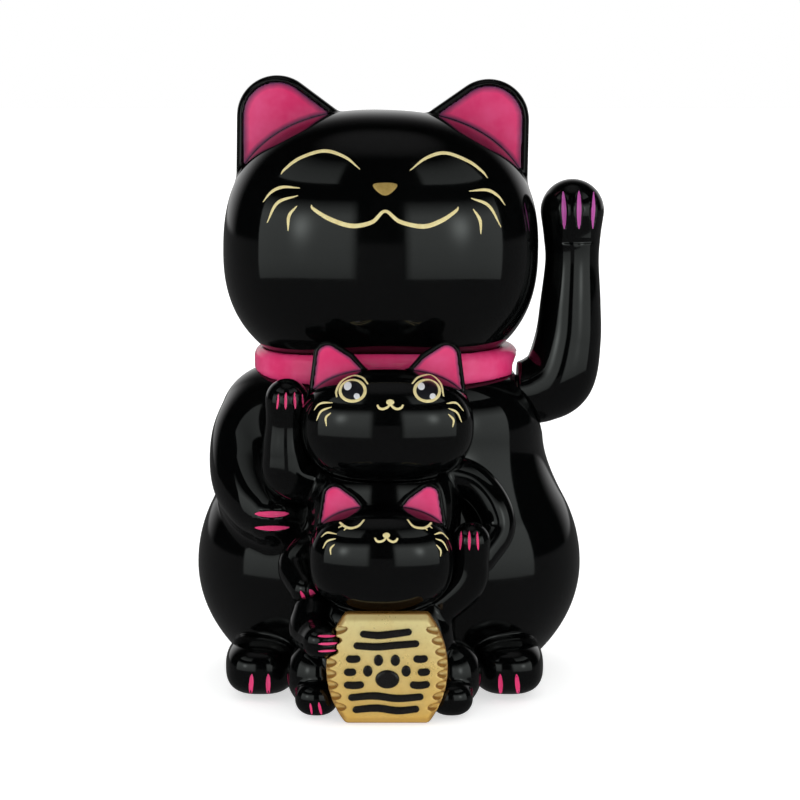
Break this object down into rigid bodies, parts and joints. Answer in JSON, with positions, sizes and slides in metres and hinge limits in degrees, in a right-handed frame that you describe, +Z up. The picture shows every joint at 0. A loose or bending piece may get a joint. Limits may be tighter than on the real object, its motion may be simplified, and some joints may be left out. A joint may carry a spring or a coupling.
{
  "type": "beckoning cat figurine",
  "caption": "Standing figurine of a glossy black cat that beckons with one swinging raised arm, with kittens and a gold plaque in front.",
  "frame": {"origin": "on the table surface, on the underside of the base plate, in the middle of the mother cat's body", "axes": "+Z up, -Y towards the viewer (the cat's front), +X towards the side of the swinging arm"},
  "size_m": [0.2042, 0.1922, 0.2999],
  "materials": {
    "black_plastic": "high-gloss injection-moulded plastic",
    "pink_paint": "glossy pink paint",
    "gold_plaque": "metallised gold plastic, satin with bright edges",
    "black_enamel": "raised black enamel",
    "base_plastic": "finely textured moulding",
    "white_plastic": "natural moulded plastic",
    "steel": "zinc-plated",
    "brass_bush": "turned",
    "magnet": "nickel-plated",
    "copper_wire": "enamelled copper winding",
    "board": "printed board with solder mask",
    "component": "moulded component body",
    "capacitor_sleeve": "printed sleeve, no text",
    "cell_sleeve": "printed sleeve, no text",
    "red_insulation": "insulated wire",
    "black_insulation": "insulated wire"
  },
  "bodies": {
    "figure": {"front_body_shell": "black_plastic", "rear_body_shell": "black_plastic", "front_head_shell": "black_plastic", "rear_head_shell": "black_plastic", "mid_kitten_head": "black_plastic", "mid_kitten_body": "black_plastic", "small_kitten_head": "black_plastic", "small_kitten_body": "black_plastic", "mother_ear_inlays": "pink_paint", "collar": "pink_paint", "mid_kitten_ear_inlays": "pink_paint", "small_kitten_ear_inlays": "pink_paint", "gold_plaque": "gold_plaque", "plaque_marks": "black_enamel", "base_plate": "base_plastic", "switch_housing": "base_plastic", "mechanism_frame": "white_plastic", "coil_bobbin": "white_plastic", "base_screws": "steel", "frame_screws": "steel", "board_screws": "steel", "battery_spring": "steel", "battery_contact": "steel", "shaft_bushes": "brass_bush", "coil_winding": "copper_wire", "driver_board": "board", "transistor": "component", "capacitor": "capacitor_sleeve", "battery_cell": "cell_sleeve", "red_wire": "red_insulation", "black_wire": "black_insulation", "board_wire": "black_insulation"},
    "swinging_arm": {"arm_front_half": "black_plastic", "arm_rear_half": "black_plastic", "arm_hub": "white_plastic", "pivot_shaft": "steel", "shaft_washers": "steel", "pendulum_lever": "white_plastic", "pendulum_weight": "steel", "pendulum_magnet": "magnet"},
    "door": {"battery_door": "base_plastic"},
    "switch": {"switch_knob": "base_plastic"}
  },
  "joints": [
    {"name": "arm_swing", "type": "hinge", "parent": "figure", "child": "swinging_arm", "pos_m": [0, 0, 0.141], "axis": [1, 0, 0], "range_deg": [-22, 22]},
    {"name": "battery_door_slide", "type": "slide", "parent": "figure", "child": "door", "axis": [1, 0, 0], "range_m": [0, 0.01]},
    {"name": "power_switch_slide", "type": "slide", "parent": "figure", "child": "switch", "axis": [0, 1, 0], "range_m": [0, 0.004]}
  ]
}
